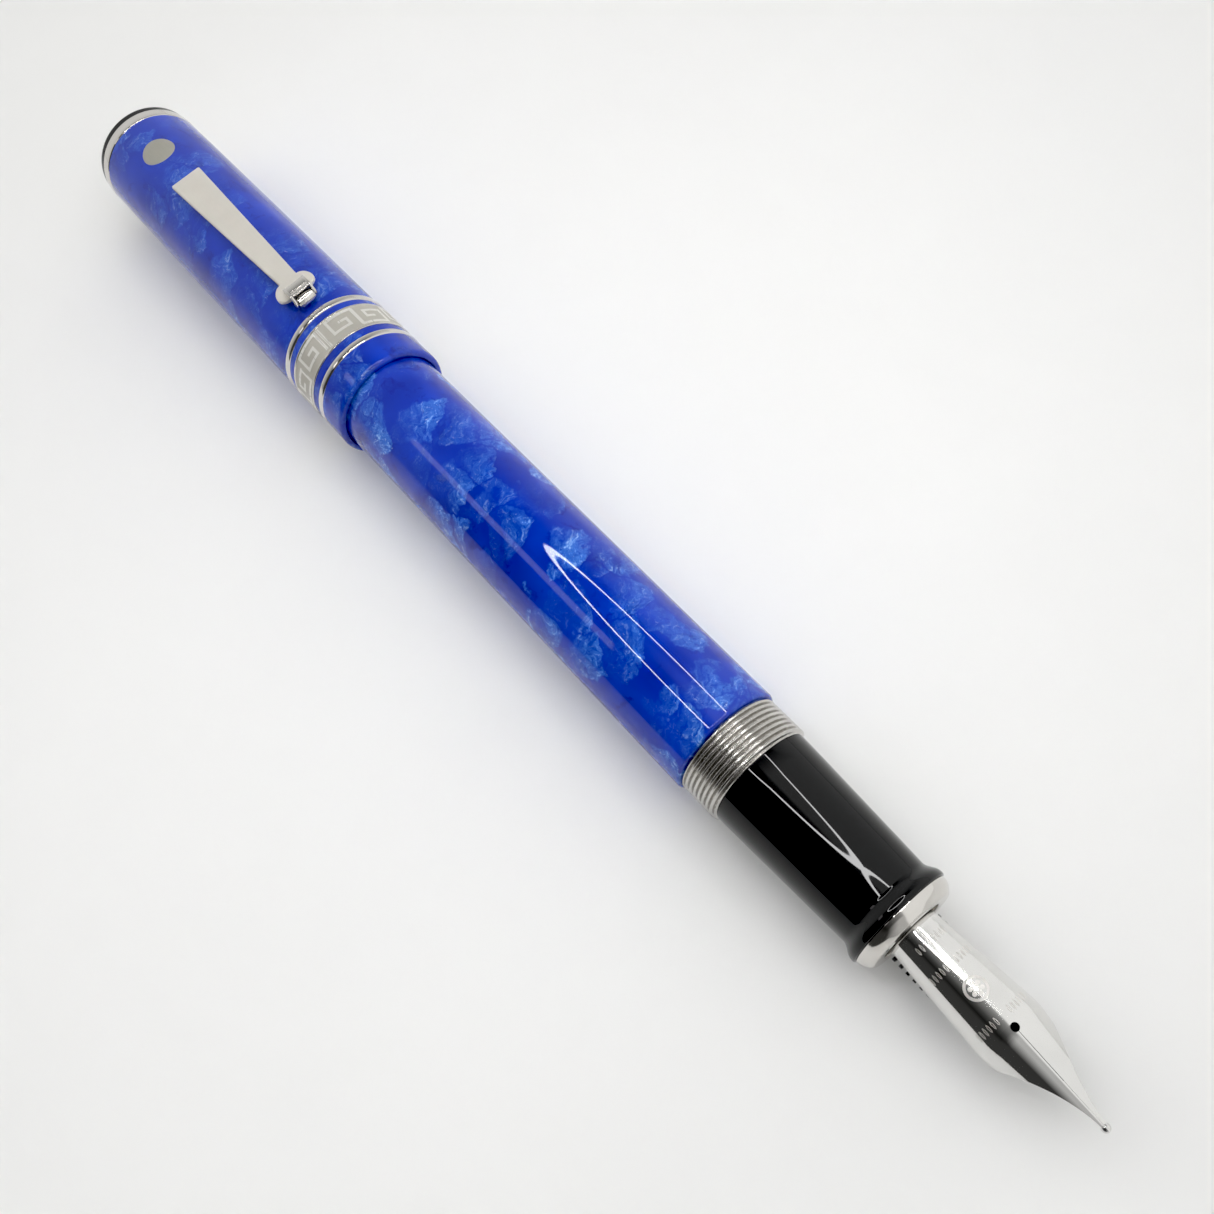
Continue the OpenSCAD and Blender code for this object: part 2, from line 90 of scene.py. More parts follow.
# ---------------------------------------------------------------- shader helpers
class Shader:
    """A node material built by short calls; every size in it is in millimetres of the model."""

    def __init__(self, name):
        self.material = bpy.data.materials.new(name)
        self.material.use_nodes = True
        self.tree = self.material.node_tree
        self.surface = self.tree.nodes["Principled BSDF"]
        place = self.node("ShaderNodeTexCoord")
        scale = self.node("ShaderNodeVectorMath", operation="SCALE")
        self.link(place.outputs["Object"], scale.inputs[0])
        scale.inputs["Scale"].default_value = 1 / MM
        self.place = scale.outputs[0]

    def node(self, kind, **settings):
        made = self.tree.nodes.new(kind)
        for key, value in settings.items():
            setattr(made, key, value)
        return made

    def link(self, output, socket):
        self.tree.links.new(output, socket)

    def feed(self, socket, value):
        if isinstance(value, bpy.types.NodeSocket):
            self.link(value, socket)
        else:
            socket.default_value = value

    def set(self, **values):
        """Sets the surface's sockets, with underscores for the spaces in their names."""
        for key, value in values.items():
            self.feed(self.surface.inputs[key.replace("_", " ")], value)

    def maths(self, operation, a, b):
        made = self.node("ShaderNodeMath", operation=operation)
        self.feed(made.inputs[0], a)
        self.feed(made.inputs[1], b)
        return made.outputs[0]

    def noise(self, place, size, detail=3.0, rough=0.5, distortion=0.0, out="Fac"):
        made = self.node("ShaderNodeTexNoise")
        self.feed(made.inputs["Vector"], place)
        made.inputs["Scale"].default_value = 1 / size
        made.inputs["Detail"].default_value = detail
        made.inputs["Roughness"].default_value = rough
        made.inputs["Distortion"].default_value = distortion
        return made.outputs[out]

    def voronoi(self, place, size, feature="F1", out="Distance"):
        made = self.node("ShaderNodeTexVoronoi", feature=feature)
        self.feed(made.inputs["Vector"], place)
        made.inputs["Scale"].default_value = 1 / size
        return made.outputs[out]

    def shift(self, place, by, amount):
        """place moved by a colour, by up to amount millimetres along each axis."""
        middle = self.node("ShaderNodeVectorMath", operation="SUBTRACT")
        self.feed(middle.inputs[0], by)
        middle.inputs[1].default_value = (0.5, 0.5, 0.5)
        made = self.node("ShaderNodeVectorMath", operation="MULTIPLY_ADD")
        self.link(middle.outputs[0], made.inputs[0])
        made.inputs[1].default_value = (2 * amount,) * 3
        self.feed(made.inputs[2], place)
        return made.outputs[0]

    def stretch(self, place, factors, turn=(0.0, 0.0, 0.0)):
        """place scaled along each axis and turned by degrees."""
        made = self.node("ShaderNodeMapping")
        self.feed(made.inputs["Vector"], place)
        made.inputs["Scale"].default_value = factors
        made.inputs["Rotation"].default_value = [math.radians(a) for a in turn]
        return made.outputs[0]

    def ramp(self, value, *stops):
        """A grey ramp; each stop is (position, grey)."""
        made = self.node("ShaderNodeValToRGB")
        self.feed(made.inputs[0], value)
        fill_ramp(made, stops)
        return made.outputs[0]

    def mix(self, share, a, b):
        """From a, where share is 0, to b, where it is 1; each is a colour or an output."""
        made = self.node("ShaderNodeMix", data_type="RGBA")
        self.feed(made.inputs[0], share)
        self.feed(made.inputs[6], a if isinstance(a, bpy.types.NodeSocket) else (*a, 1))
        self.feed(made.inputs[7], b if isinstance(b, bpy.types.NodeSocket) else (*b, 1))
        return made.outputs[2]

    def bump(self, height, distance, strength):
        made = self.node("ShaderNodeBump")
        made.inputs["Strength"].default_value = strength
        made.inputs["Distance"].default_value = distance * MM
        self.feed(made.inputs["Height"], height)
        self.link(made.outputs[0], self.surface.inputs["Normal"])


def fill_ramp(node, stops):
    """Gives a colour ramp its stops, each (position, grey)."""
    items = node.color_ramp.elements
    while len(items) < len(stops):
        items.new(0.5)
    for item, (position, grey) in zip(items, stops):
        item.position = position
        item.color = (grey, grey, grey, 1)


# ---------------------------------------------------------------- materials
SHARD_SIZE = 5.4
SHARD_BRIGHT_SIDE = (0.62, 0.55, 0.56)
GROUND_DEEP = (0.002, 0.008, 0.22)
GROUND_DARK = (0.004, 0.024, 0.33)
GROUND_LIGHT = (0.010, 0.046, 0.47)
PEARL_DARK = (0.008, 0.055, 0.44)
PEARL_LIGHT = (0.065, 0.21, 0.69)
# Painted pearly highlight: the pale colour laid on the palest feathery streaks of the shards.
PAINTED_PEARL_HIGHLIGHT = (0.38, 0.60, 0.88)
# Painted glints: the pale sparkles laid on small specks in the shards.
PAINTED_GLINT = (0.52, 0.72, 0.93)


def ground_colour(s, warped):
    """The resin between the shards: ultramarine, with deeper clouds."""
    haze = s.noise(s.place, 9.0, 2, 0.5, 0.6)
    ground = s.mix(s.ramp(haze, (0.35, 0.0), (0.7, 1.0)), GROUND_DARK, GROUND_LIGHT)
    deep = s.ramp(s.noise(warped, 3.4, 4, 0.55, 0.8), (0.58, 0.0), (0.70, 0.7))
    return s.mix(deep, ground, GROUND_DEEP)


def pearl_colour(s, warped, turned, cloud):
    """The shards' lighter blue: feathery streaks that differ from shard to shard, a painted pearly highlight
    on the palest streaks, and painted glints in small pale specks.
    """
    feather = s.noise(s.stretch(turned, (0.5, 1.5, 1.5)), 1.0, 7, 0.68, 1.1)
    pearl = s.mix(s.ramp(feather, (0.36, 0.0), (0.62, 1.0)), PEARL_DARK, PEARL_LIGHT)
    # The palest streaks carry a painted pearly highlight.
    pearl = s.mix(s.ramp(feather, (0.57, 0.0), (0.70, 0.9)), pearl, PAINTED_PEARL_HIGHLIGHT)
    # Small pale specks in the clouded parts of the shards are painted glints.
    speck = s.ramp(s.noise(warped, 0.4, 3, 0.75, 0.4), (0.60, 0.0), (0.70, 0.8))
    glints = s.maths("MULTIPLY", speck, s.ramp(cloud, (0.48, 0.0), (0.62, 1.0)))
    return s.mix(glints, pearl, PAINTED_GLINT)


def shard_share(s, warped, cell, cloud):
    """How much pearl shows: none outside the chosen shards, and most on a shard's bright side."""
    edge = s.voronoi(warped, SHARD_SIZE, feature="DISTANCE_TO_EDGE")
    centre = s.voronoi(warped, SHARD_SIZE, out="Position")
    pick = s.node("ShaderNodeSeparateColor")
    s.link(cell, pick.inputs[0])
    chosen = s.ramp(pick.outputs[0], (0.40, 0.0), (0.50, 1.0))
    offset = s.node("ShaderNodeVectorMath", operation="SUBTRACT")
    s.link(warped, offset.inputs[0])
    s.link(centre, offset.inputs[1])
    lean = s.node("ShaderNodeVectorMath", operation="DOT_PRODUCT")
    s.link(offset.outputs[0], lean.inputs[0])
    lean.inputs[1].default_value = [c / SHARD_SIZE for c in SHARD_BRIGHT_SIDE]
    bright_side = s.ramp(s.maths("ADD", lean.outputs["Value"], 0.5), (0.2, 0.12), (0.75, 1.0))
    body = s.maths("MULTIPLY", chosen, s.ramp(edge, (0.0, 0.0), (0.06, 1.0)))
    strength = s.maths("MULTIPLY", body, s.ramp(cloud, (0.31, 0.1), (0.54, 1.0)))
    return s.maths("MULTIPLY", strength, bright_side)


def marbled_resin(name, boldness):
    """Ultramarine resin with shards of pearly lighter blue, each brighter on one side, with a pearly
    highlight and glints painted into the colour.
    """
    s = Shader(name)
    warped = s.shift(s.place, s.noise(s.place, 5.0, 4, 0.6, out="Color"), 2.6)
    cell = s.voronoi(warped, SHARD_SIZE, out="Color")
    turned = s.shift(s.stretch(warped, (1.0, 0.6, 0.6), (15, 25, 35)), cell, 9.0)
    cloud = s.noise(turned, 2.0, 4, 0.6, 0.9)
    share = s.maths("MULTIPLY", shard_share(s, warped, cell, cloud), boldness)
    pearl = pearl_colour(s, warped, turned, cloud)
    s.set(Base_Color=s.mix(share, ground_colour(s, warped), pearl), Roughness=0.03, IOR=1.5)
    return s.material


def moulded(name, colour, roughness):
    """Moulded plastic or rubber with a faint unevenness."""
    s = Shader(name)
    speck = s.noise(s.place, 0.7, 4, 0.6)
    s.set(
        Base_Color=s.mix(s.ramp(speck, (0.3, 0.0), (0.8, 1.0)), colour, [c * 1.6 for c in colour]),
        Roughness=s.ramp(s.noise(s.place, 3.0, 2), (0.2, roughness * 0.8), (0.8, roughness * 1.3)),
        IOR=1.43,
    )
    return s.material


def metal(name, colour, roughness, grain=0.0, along=(0.06, 1.0, 1.0), size=0.25, metallic=1.0):
    """Plated metal with fine marks of a size, stretched by the factors in along. grain is their depth."""
    s = Shader(name)
    marks = s.noise(s.stretch(s.place, along), size, 5, 0.65)
    tone = s.ramp(s.noise(s.place, 4.0, 3), (0.3, 0.0), (0.7, 1.0))
    s.set(
        Base_Color=s.mix(tone, [c * 0.94 for c in colour], colour),
        Metallic=metallic,
        Roughness=s.ramp(marks, (0.2, roughness * 0.75), (0.8, roughness * 1.3)),
    )
    if grain:
        s.bump(marks, 0.01, grain)
    return s.material


def clear_plastic():
    s = Shader("clear_plastic")
    s.set(
        Base_Color=(0.9, 0.94, 0.95, 1),
        Roughness=s.ramp(s.noise(s.place, 2.0, 3), (0.2, 0.05), (0.8, 0.12)),
        Transmission_Weight=0.9,
        IOR=1.49,
    )
    return s.material


def floor_paper():
    s = Shader("floor_paper")
    tone = s.ramp(s.noise(s.place, 60.0, 3), (0.3, 0.0), (0.7, 1.0))
    s.set(Base_Color=s.mix(tone, (0.865, 0.865, 0.855), (0.885, 0.885, 0.875)), Roughness=0.6, IOR=1.35)
    return s.material


BARREL_RESIN = marbled_resin("barrel_resin", 1.0)
CAP_RESIN = marbled_resin("cap_resin", 0.5)
BLACK = moulded("black_resin", (0.002, 0.0022, 0.0026), 0.03)
MATT_BLACK = moulded("black_plastic", (0.012, 0.012, 0.013), 0.28)
RUBBER = moulded("seal_rubber", (0.015, 0.015, 0.015), 0.6)
WHITE = moulded("white_plastic", (0.6, 0.6, 0.57), 0.35)
POLISHED = metal("polished_metal", (0.71, 0.69, 0.66), 0.10)
SLEEVE = metal("threaded_metal", (0.60, 0.585, 0.56), 0.24)
SEAL = metal("seal_metal", (0.42, 0.41, 0.36), 0.5, 0.2, metallic=0.5)
SATIN = metal("satin_metal", (0.70, 0.67, 0.61), 0.42, 0.12, metallic=0.4)
ETCHED = metal("etched_metal", (0.52, 0.50, 0.45), 0.46, 0.25, (1, 1, 1), 0.12, metallic=0.5)
KEY = metal("key_metal", (0.78, 0.77, 0.73), 0.30, metallic=0.5)
NIB = metal("nib_metal", (0.78, 0.775, 0.76), 0.07)
MARKS = metal("nib_marks", (0.80, 0.78, 0.75), 0.5, 0.3, (1, 1, 1), 0.08)
CLEAR = clear_plastic()


# ---------------------------------------------------------------- mesh helpers
def piece(name, verts, faces, material, body, nodes, sharp=35):
    """Makes a shown piece that rides on a CAD body and stands for its CAD nodes.

    Edges that turn by more than sharp degrees stay sharp."""
    mesh = bpy.data.meshes.new(name)
    mesh.from_pydata(verts, [], faces)
    made = bpy.data.objects.new(name, mesh)
    bpy.context.scene.collection.objects.link(made)
    shape = bmesh.new()
    shape.from_mesh(mesh)
    bmesh.ops.remove_doubles(shape, verts=shape.verts, dist=TINY)
    bmesh.ops.recalc_face_normals(shape, faces=shape.faces)
    for face in shape.faces:
        face.smooth = True
    for edge in shape.edges:
        edge.smooth = len(edge.link_faces) == 2 and edge.calc_face_angle() < math.radians(sharp)
    shape.to_mesh(mesh)
    shape.free()
    mesh.materials.append(material)
    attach(made, body)
    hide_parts(*nodes)
    return made


def rounded(points):
    """Corners (x, r, size) of a profile, with each corner that has a size turned into a small curve."""
    out = []
    for i, point in enumerate(points):
        here = Vector(point[:2])
        size = point[2] if len(point) > 2 else 0
        if not size:
            out.append(here)
            continue
        before = Vector(points[i - 1][:2]) - here
        after = Vector(points[(i + 1) % len(points)][:2]) - here
        a = here + before.normalized() * size
        b = here + after.normalized() * size
        for k in range(ROUND_STEPS + 1):
            t = k / ROUND_STEPS
            out.append(a * (1 - t) ** 2 + here * 2 * t * (1 - t) + b * t * t)
    return out


def lathe(name, points, material, body, nodes):
    """A closed profile of (x, r) corners turned about the pen's axis."""
    profile = rounded(points)
    verts, faces = [], []
    for x, r in profile:
        for k in range(SEGMENTS):
            a = 2 * math.pi * k / SEGMENTS
            verts.append((x, r * math.cos(a), r * math.sin(a)))
    count = len(profile)
    for i in range(count):
        j = (i + 1) % count
        if profile[i][1] < TINY and profile[j][1] < TINY:
            continue
        for k in range(SEGMENTS):
            n = (k + 1) % SEGMENTS
            faces.append((i * SEGMENTS + k, i * SEGMENTS + n, j * SEGMENTS + n, j * SEGMENTS + k))
    piece(name, verts, faces, material, body, nodes)


def grid(name, rows, material, body, nodes, sharp=35):
    """A skin over rows of points, each row a closed loop."""
    verts = [p for row in rows for p in row]
    width = len(rows[0])
    faces = []
    for i in range(len(rows) - 1):
        for k in range(width):
            n = (k + 1) % width
            faces.append((i * width + k, i * width + n, (i + 1) * width + n, (i + 1) * width + k))
    return piece(name, verts, faces, material, body, nodes, sharp)


def close_ends(made, rows):
    """Closes the first and last loops of a skin with faces across them."""
    shape = bmesh.new()
    shape.from_mesh(made.data)
    for row in (rows[0], rows[-1]):
        ends = [v for v in shape.verts if abs(v.co.x - row[0].x) < TINY]
        edges = [e for e in shape.edges if e.verts[0] in ends and e.verts[1] in ends]
        bmesh.ops.holes_fill(shape, edges=edges, sides=0)
    bmesh.ops.recalc_face_normals(shape, faces=shape.faces)
    shape.to_mesh(made.data)
    shape.free()


def slab(name, outline, y0, y1, soft, material, body, nodes, slot):
    """An outline in X and Z, made y0 to y1 thick, with all its edges rounded."""
    shape = bmesh.new()
    near = [shape.verts.new((x, y0, z)) for x, z in outline]
    far = [shape.verts.new((x, y1, z)) for x, z in outline]
    shape.faces.new(near)
    shape.faces.new(list(reversed(far)))
    for i in range(len(outline)):
        j = (i + 1) % len(outline)
        shape.faces.new((near[j], near[i], far[i], far[j]))
    bmesh.ops.recalc_face_normals(shape, faces=shape.faces)
    bmesh.ops.bevel(shape, geom=shape.edges[:], offset=soft, segments=3, profile=0.5, affect="EDGES")
    verts = [v.co.copy() for v in shape.verts]
    faces = [[v.index for v in face.verts] for face in shape.faces]
    shape.free()
    piece(name, verts, faces, material, body, nodes, 50)


def ribbon(path, width, height, place):
    """Corners and faces of a low raised line along a path of (u, v) points; place turns them into 3-D."""
    verts, faces = [], []
    count = len(path)
    for i, point in enumerate(path):
        ahead = Vector(path[min(i + 1, count - 1)]) - Vector(point)
        behind = Vector(point) - Vector(path[max(i - 1, 0)])
        if ahead.length == 0:
            ahead = behind
        if behind.length == 0:
            behind = ahead
        ahead, behind = ahead.normalized(), behind.normalized()
        along = (ahead + behind).normalized()
        side = Vector((-along.y, along.x)) * width / 2 / max(along.dot(ahead), 0.3)
        left, right = Vector(point) + side, Vector(point) - side
        verts += [place(left, 0), place(left, height), place(right, height), place(right, 0)]
    for i in range(count - 1):
        for k in range(3):
            a = 4 * i + k
            faces.append((a, a + 1, a + 5, a + 4))
    faces += [(0, 1, 2, 3), (4 * count - 4, 4 * count - 3, 4 * count - 2, 4 * count - 1)]
    return verts, faces


def joined(parts):
    """One list of corners and one of faces, from several pairs of them."""
    verts, faces = [], []
    for more_verts, more_faces in parts:
        faces += [tuple(i + len(verts) for i in face) for face in more_faces]
        verts += more_verts
    return verts, faces


def circle(u, v, r, count=28):
    """A closed path of (u, v) points."""
    angles = [2 * math.pi * (k / count) for k in range(count + 1)]
    return [(u + r * math.cos(a), v + r * math.sin(a)) for a in angles]


def around(x, r, angle):
    """A point at radius r; the angle is measured from the top towards +Y, in radians."""
    return Vector((x, r * math.sin(angle), r * math.cos(angle)))


def lerp(a, b, t):
    return a + (b - a) * t


def smooth_step(t):
    t = min(max(t, 0.0), 1.0)
    return t * t * (3 - 2 * t)


# ---------------------------------------------------------------- barrel and sleeve
def make_barrel():
    """Barrel with a narrower tail inside the posted cap."""
    tail_r, step_r = 6.3 * MM, 6.57 * MM
    step_x = lip_x - 0.8 * MM
    bore_end_x = tail_x + 4 * MM
    lathe("barrel_resin", [
        (tail_x, 0), (tail_x, tail_r, 0.6 * MM), (step_x - 0.6 * MM, step_r),
        (step_x, barrel_r, 0.1 * MM), (barrel_front_x, barrel_r, 0.45 * MM),
        (barrel_front_x, socket_r), (socket_x, socket_r),
        (socket_x, barrel_bore_r), (bore_end_x, barrel_bore_r), (bore_end_x, 0),
    ], BARREL_RESIN, "barrel", ["barrel"])


def make_sleeve():
    """Sleeve with a real helix of about eight turns that fades out at both ends."""
    root_r, bore_r, mouth_r = 6.45 * MM, 5.0 * MM, 5.75 * MM
    mouth_x = sleeve_front_x - 0.8 * MM
    crest = thread_r - root_r
    length = sleeve_front_x - barrel_front_x
    turns, steps = 8.3, 132
    fading, flank = 0.05, 0.34
    rows = []
    for i in range(steps + 1):
        along = i / steps
        fade = smooth_step(along / fading) * smooth_step((1 - along) / fading)
        row = []
        for k in range(SEGMENTS):
            turn = k / SEGMENTS
            phase = (along * turns - turn) % 1
            ridge = smooth_step((0.5 - abs(phase - 0.5)) / flank)
            x = barrel_front_x + along * length
            row.append(around(x, root_r + crest * ridge * fade, 2 * math.pi * turn))
        rows.append(row)
    for x, r in ((sleeve_front_x, mouth_r), (mouth_x, mouth_r), (mouth_x, bore_r),
                 (socket_x, bore_r), (socket_x, socket_r), (barrel_front_x, socket_r)):
        rows.append([around(x, r, 2 * math.pi * k / SEGMENTS) for k in range(SEGMENTS)])
    rows.append(rows[0])
    grid("thread_sleeve", rows, SLEEVE, "barrel", ["cap_thread_sleeve"], 60)


# ---------------------------------------------------------------- cap
def shell_r(x):
    """Radius of the cap's shell, which widens from its closed end to its lip."""
    curve = 0.75
    share = max(x - cap_top_x, 0) / (lip_x - cap_top_x)
    return min(cap_top_r + (lip_r - cap_top_r) * share ** curve, land_r)


def cap_thread():
    """Profile of the ridges inside the cap's mouth, from the lip inwards."""
    crest_r = 6.62 * MM
    corners = []
    for k in range(8):
        x = lip_x - (1.9 + 0.65 * k) * MM
        corners += [(x, cap_bore_r), (x - 0.2 * MM, crest_r), (x - 0.35 * MM, crest_r)]
        corners += [(x - 0.55 * MM, cap_bore_r)]
    return corners


def make_cap_shell():
    """Shell with a groove under each of its three rings, and the thread inside its mouth."""
    hair, soft = 0.02 * MM, 0.06 * MM
    mouth_r, mouth_x = 7.4 * MM, lip_x - 1.6 * MM
    profile = [(cap_top_x, cap_bore_r), (cap_top_x, cap_top_r - hair, 0.08 * MM)]
    profile += [(x, shell_r(x)) for x in [lerp(cap_top_x, upper_ring[0], k / 8) for k in range(1, 8)]]
    for back, front, _ in (upper_ring, band, lower_ring):
        profile += [(back, land_r, soft), (back, ring_seat_r), (front, ring_seat_r), (front, land_r, soft)]
    profile[-1] = (lower_ring[1], lip_r - hair)
    profile += [
        (lip_x, lip_r, 0.75 * MM), (lip_x, mouth_r, 0.1 * MM), (mouth_x, mouth_r), (mouth_x, cap_bore_r),
    ]
    profile += cap_thread()
    lathe("cap_resin", profile, CAP_RESIN, "cap", ["cap_shell"])


def make_rings():
    """The two narrow rings, and the band between them: a sunk ground and a polished rim on either side."""
    soft = 0.35 * MM
    for name, (back, front, r) in (("upper_cap_ring", upper_ring), ("lower_cap_ring", lower_ring)):
        lathe(name + "_polished", [
            (back, ring_seat_r), (back, r, soft), (front, r, soft), (front, ring_seat_r),
        ], POLISHED, "cap", [name])
    rim = 0.32 * MM
    sunk = band_r - 0.05 * MM
    back, front = band[0] + rim, band[1] - rim
    lathe("cap_band_ground", [
        (back, ring_seat_r), (back, sunk), (front, sunk), (front, ring_seat_r),
    ], ETCHED, "cap", ["middle_cap_band"])
    for name, low, high in (("back", band[0], back), ("front", front, band[1])):
        lathe("cap_band_rim_" + name, [
            (low, ring_seat_r), (low, band_r, 0.1 * MM), (high, band_r, 0.1 * MM), (high, ring_seat_r),
        ], POLISHED, "cap", ["middle_cap_band"])


def make_finial():
    """Black end disc with a spigot in the cap's bore, and the metal ring around the spigot."""
    black_r = cap_top_r - 0.15 * MM
    spigot_x = cap_top_x + 1.1 * MM
    lathe("finial_black", [
        (finial_x, 0), (finial_x, black_r, 0.45 * MM), (finial_ring_x, black_r),
        (finial_ring_x, cap_bore_r), (spigot_x, cap_bore_r), (spigot_x, 0),
    ], BLACK, "cap", ["cap_finial"])
    lathe("finial_ring_polished", [
        (finial_ring_x, cap_bore_r), (finial_ring_x, cap_top_r, 0.4 * MM),
        (finial_front_x, cap_top_r, 0.25 * MM), (finial_front_x, cap_bore_r),
    ], POLISHED, "cap", ["finial_ring"])


def make_seal_disc():
    """Matt plate let into the shell: it follows the shell's curve and stands a hair above it."""
    middle_x = (seal_low[0] + seal_high[0]) / 2
    disc_r = (seal_high[0] - seal_low[0]) / 2
    proud, soft = 0.03 * MM, 0.05 * MM
    rings = [(disc_r * k / 12, proud) for k in range(12)]
    rings += [(disc_r - soft, proud), (disc_r - soft / 3, proud * 0.6), (disc_r, 0), (disc_r, -4 * proud)]
    rows = []
    for reach, lift in rings:
        row = []
        for k in range(96):
            a = 2 * math.pi * k / 96
            x, y = middle_x + reach * math.cos(a), reach * math.sin(a)
            row.append(Vector((x, y, math.sqrt((shell_r(x) + lift) ** 2 - y ** 2))))
        rows.append(row)
    grid("seal_plate", rows, SEAL, "cap", ["seal_disc"])


# ---------------------------------------------------------------- key pattern of the cap's band
SPIRAL = ((1, 1), (0, 1), (0, 0), (0.74, 0), (0.74, 0.66), (0.38, 0.66), (0.38, 0.34))


def finer(path):
    """A path of (x, degrees) with a point about every two degrees, so that it can follow the band."""
    fine = []
    for a, b in zip(path, path[1:]):
        steps = max(1, round(abs(a[1] - b[1]) / 2))
        fine += [tuple(Vector(a).lerp(Vector(b), k / steps)) for k in range(steps)]
    return fine + [path[-1]]


def band_strip(path, width):
    """A raised line on the band, laid out in lengths both ways so that its width is the same throughout."""
    ground, proud = band_r - 0.06 * MM, 0.055 * MM
    flat = [(x, math.radians(a) * band_r) for x, a in path]
    return ribbon(flat, width, proud, lambda p, h: around(p[0], ground + h, p[1] / band_r))


def make_key():
    """Square spirals in joined pairs around the band, and a double bar where the pattern begins."""
    low, high = band[0] + 0.62 * MM, band[1] - 0.72 * MM
    # Degrees around the band: the double bar, from it to the first spiral, from one spiral to the next, a
    # spiral's own length, and the small gap between the middles of the lines where the two of a pair meet.
    seam, first, pitch, unit, gap = -13.0, 10.0, 31.8, 27.5, 0.8
    parts = []
    for k in range(11):
        second = k % 2
        start = seam + first + k * pitch - (pitch - unit - gap if second else 0)
        corners = [(1 - u, 1 - v) if second else (u, v) for u, v in SPIRAL]
        path = [(lerp(low, high, u), start + v * unit) for u, v in corners]
        parts.append(band_strip(finer(path), 0.4 * MM))
    for shift, width in ((-0.9, 0.12), (0.9, 0.2)):
        bar = [(band[0] + 0.5 * MM, seam + shift), (band[1] - 0.5 * MM, seam + shift)]
        parts.append(band_strip(bar, width * MM))
    verts, faces = joined(parts)
    piece("cap_band_key", verts, faces, KEY, "cap", ["middle_cap_band"])


# ---------------------------------------------------------------- section
def make_grip():
    """Grip that narrows evenly to its waist and sweeps out to the flare."""
    back_r, waist_r = 6.5 * MM, 5.8 * MM
    sweep_x = flare_x - 2.3 * MM
    profile = [(grip_x, section_bore_r), (grip_x, back_r, 0.15 * MM)]
    profile += [(lerp(grip_x, sweep_x, k / 6), lerp(back_r, waist_r, k / 6)) for k in range(1, 7)]
    for k in range(1, 11):
        t = k / 10
        rise = (flare_r - waist_r) * (1 - math.cos(math.pi * t)) / 2
        profile.append((lerp(sweep_x, flare_x - 0.5 * MM, t), waist_r + rise))
    profile += [(flare_x, flare_r, 0.3 * MM), (flare_x, section_bore_r)]
    lathe("grip_black", profile, BLACK, "section", ["section_grip"])


def make_trim_ring():
    """Polished ring that curves in from the flare to its face around the nib."""
    face_r = 5.4 * MM
    lathe("section_trim_polished", [
        (flare_x, section_bore_r), (flare_x, flare_r - 0.25 * MM, 0.1 * MM),
        (flare_x + 0.75 * MM, flare_r - 0.28 * MM, 0.5 * MM), (ring_face_x, face_r, 0.25 * MM),
        (ring_face_x, section_bore_r, 0.15 * MM),
    ], POLISHED, "section", ["section_trim_ring"])


# ---------------------------------------------------------------- nib
breather_x = tip_x - 11.35 * MM
breather_r = 0.46 * MM
shoulder_x = tip_x - 9.2 * MM
exit_r, wide_r = 3.05 * MM, 4.0 * MM
exit_edge_z, shoulder_edge_z = -0.3 * MM, -0.9 * MM
shoulder_w, tip_w = 3.55 * MM, 0.33 * MM
nib_t, tip_t = 0.35 * MM, 0.5 * MM
slit = 0.05 * MM
bend_back, bend_length = 1 * MM, 2 * MM
nib_droop = math.radians(8.4)
narrowing = 0.15
tine_curve = 1.55
edge_blend = 0.9 * MM


def eased(u, soft):
    """0 before 0, u - soft / 2 after soft, and a parabola between."""
    if u <= 0:
        return 0.0
    return u * u / (2 * soft) if u < soft else u - soft / 2


def past_bend(x):
    """How far x lies past the soft bend at the breather hole."""
    return eased(x - breather_x + bend_back, bend_length)


def nib_radius(x):
    """Radius of the nib's curve: it widens to the breather hole and narrows again past the bend."""
    share = min(max((x - ring_face_x) / (breather_x - ring_face_x), 0), 1)
    return lerp(exit_r, wide_r, share) - narrowing * past_bend(x)


def nib_axis(x):
    """Height of the middle of that curve, which droops past the bend."""
    return -math.tan(nib_droop) * past_bend(x)


def nib_edge(x):
    """Angle from the top at which the nib's metal ends, either side."""
    edge_z = lerp(exit_edge_z, shoulder_edge_z, (x - ring_face_x) / (shoulder_x - ring_face_x))
    full = math.acos(min(max((edge_z - nib_axis(x)) / nib_radius(x), -1), 1))
    t = min(max((x - shoulder_x) / (tip_x - shoulder_x), 0), 1)
    half = tip_w + (shoulder_w - tip_w) * (1 - t) ** tine_curve
    tapered = math.asin(min(half / nib_radius(x), 1))
    return lerp(full, tapered, smooth_step((x - shoulder_x) / edge_blend + 1))


def nib_opening(x):
    """Half the gap along the top: none, then the breather hole's outline, then the slit."""
    if x <= breather_x - breather_r + TINY:
        return 0.0
    hole = breather_r ** 2 - (x - breather_x) ** 2
    return max(slit / 2, math.sqrt(max(hole, 0)))


def on_nib(x, angle, lift=0.0):
    """A point on the nib's upper surface, or lift above it."""
    r = nib_radius(x) + lift
    return Vector((x, r * math.sin(angle), nib_axis(x) + r * math.cos(angle)))


def nib_stations():
    """Places of the nib's cross-sections: closest together around the breather hole."""
    hole = [breather_x - breather_r * math.cos(math.pi * k / 14) for k in range(15)]
    back = [lerp(nib_back_x, hole[0], k / 40) for k in range(40)]
    front = [lerp(hole[-1], tip_x, k / 90) for k in range(1, 91)]
    return back + hole + front


